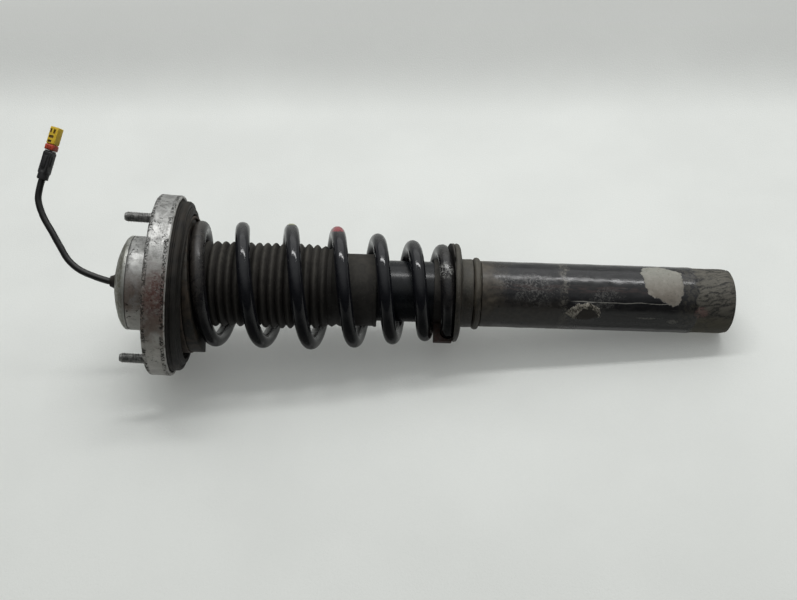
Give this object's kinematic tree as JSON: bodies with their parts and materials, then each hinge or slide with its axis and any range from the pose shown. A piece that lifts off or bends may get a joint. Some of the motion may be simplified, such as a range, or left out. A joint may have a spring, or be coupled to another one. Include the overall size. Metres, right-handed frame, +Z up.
{
  "type": "suspension strut",
  "caption": "Adjustable clamp-type suspension strut with coil spring, dust gaiter, bearing top mount and an electric valve lead.",
  "frame": {"origin": "centre of the damper tube's lower end face", "axes": "+Z up along the damper's axis towards the top mount, +X towards the side the valve lead leaves on"},
  "size_m": [0.2048, 0.1516, 0.5819],
  "materials": {
    "cast_aluminium": "rough as cast, stained",
    "zinc": "dull dark zinc plating",
    "rubber": "matt, dusty",
    "cable_sheath": "satin sheath",
    "steel": "machined",
    "hard_chrome": "ground and polished",
    "nylon": "moulded",
    "yellow_plastic": "moulded",
    "red_plastic": "moulded",
    "brass": "plain",
    "copper": "lacquered copper winding",
    "guide_band": "bronze-filled guide band",
    "bump_foam": "closed-cell foam",
    "dusty_steel": "dusty and rust stained",
    "dusty_rubber": "dusty",
    "gloss_paint": "gloss black",
    "worn_paint": "worn and scuffed black"
  },
  "bodies": {
    "top_mount": {"mount_housing": "cast_aluminium", "mount_stud_1": "zinc", "mount_stud_2": "zinc", "mount_stud_3": "zinc", "dust_seal": "rubber", "mount_rubber": "rubber", "top_cap": "cast_aluminium", "cable_grommet": "rubber", "bearing_support": "cast_aluminium", "upper_bearing_race": "steel", "piston_rod": "hard_chrome", "rod_spacer": "steel", "lower_washer": "zinc", "mount_core": "steel", "upper_washer": "zinc", "rod_nut": "zinc", "bump_stop": "bump_foam", "bump_stop_cup": "zinc", "rebound_stop": "rubber", "valve_housing": "steel", "solenoid_coil": "copper", "piston": "steel", "piston_band": "guide_band", "piston_nut": "steel", "damper_cable": "cable_sheath", "connector_backshell": "nylon", "connector_housing": "yellow_plastic", "connector_pin_1": "brass", "connector_pin_2": "brass"},
    "bearing_cage": {"bearing_cage": "nylon"},
    "spring_seat": {"lower_bearing_race": "steel", "spring_plate": "dusty_steel", "upper_spring_pad": "dusty_rubber", "coil_spring": "gloss_paint", "dust_gaiter": "dusty_rubber"},
    "damper_body": {"damper_tube": "gloss_paint", "clamp_sleeve": "worn_paint", "bottom_cap": "worn_paint", "base_valve": "steel", "pressure_tube": "steel", "rod_guide": "steel", "rod_seal": "rubber", "tube_cap": "nylon", "support_bead": "worn_paint", "lower_spring_seat": "worn_paint", "lower_spring_pad": "rubber"},
    "valve_spool": {"valve_spool": "steel"},
    "connector_lock": {"connector_lock": "red_plastic"}
  },
  "joints": [
    {"name": "steering_swivel", "type": "hinge", "parent": "top_mount", "child": "spring_seat", "pos_m": [0, 0, 0.4606], "axis": [0, 0, 1], "range_deg": [-40, 40]},
    {"name": "bearing_roll", "type": "hinge", "parent": "top_mount", "child": "bearing_cage", "pos_m": [0, 0, 0.4606], "axis": [0, 0, 1], "range_deg": [-20, 20]},
    {"name": "damper_travel", "type": "slide", "parent": "spring_seat", "child": "damper_body", "axis": [0, 0, 1], "range_m": [0, 0.075], "deforming": ["coil_spring", "dust_gaiter"]},
    {"name": "spool_slide", "type": "slide", "parent": "top_mount", "child": "valve_spool", "axis": [0, 0, 1], "range_m": [-0.0015, 0.0015]},
    {"name": "lock_slide", "type": "slide", "parent": "top_mount", "child": "connector_lock", "axis": [0.9673, 0, -0.2538], "range_m": [-0.001, 0]}
  ],
  "couplings": [
    {"joint": "bearing_roll", "follows": "steering_swivel", "ratio": 0.5}
  ]
}
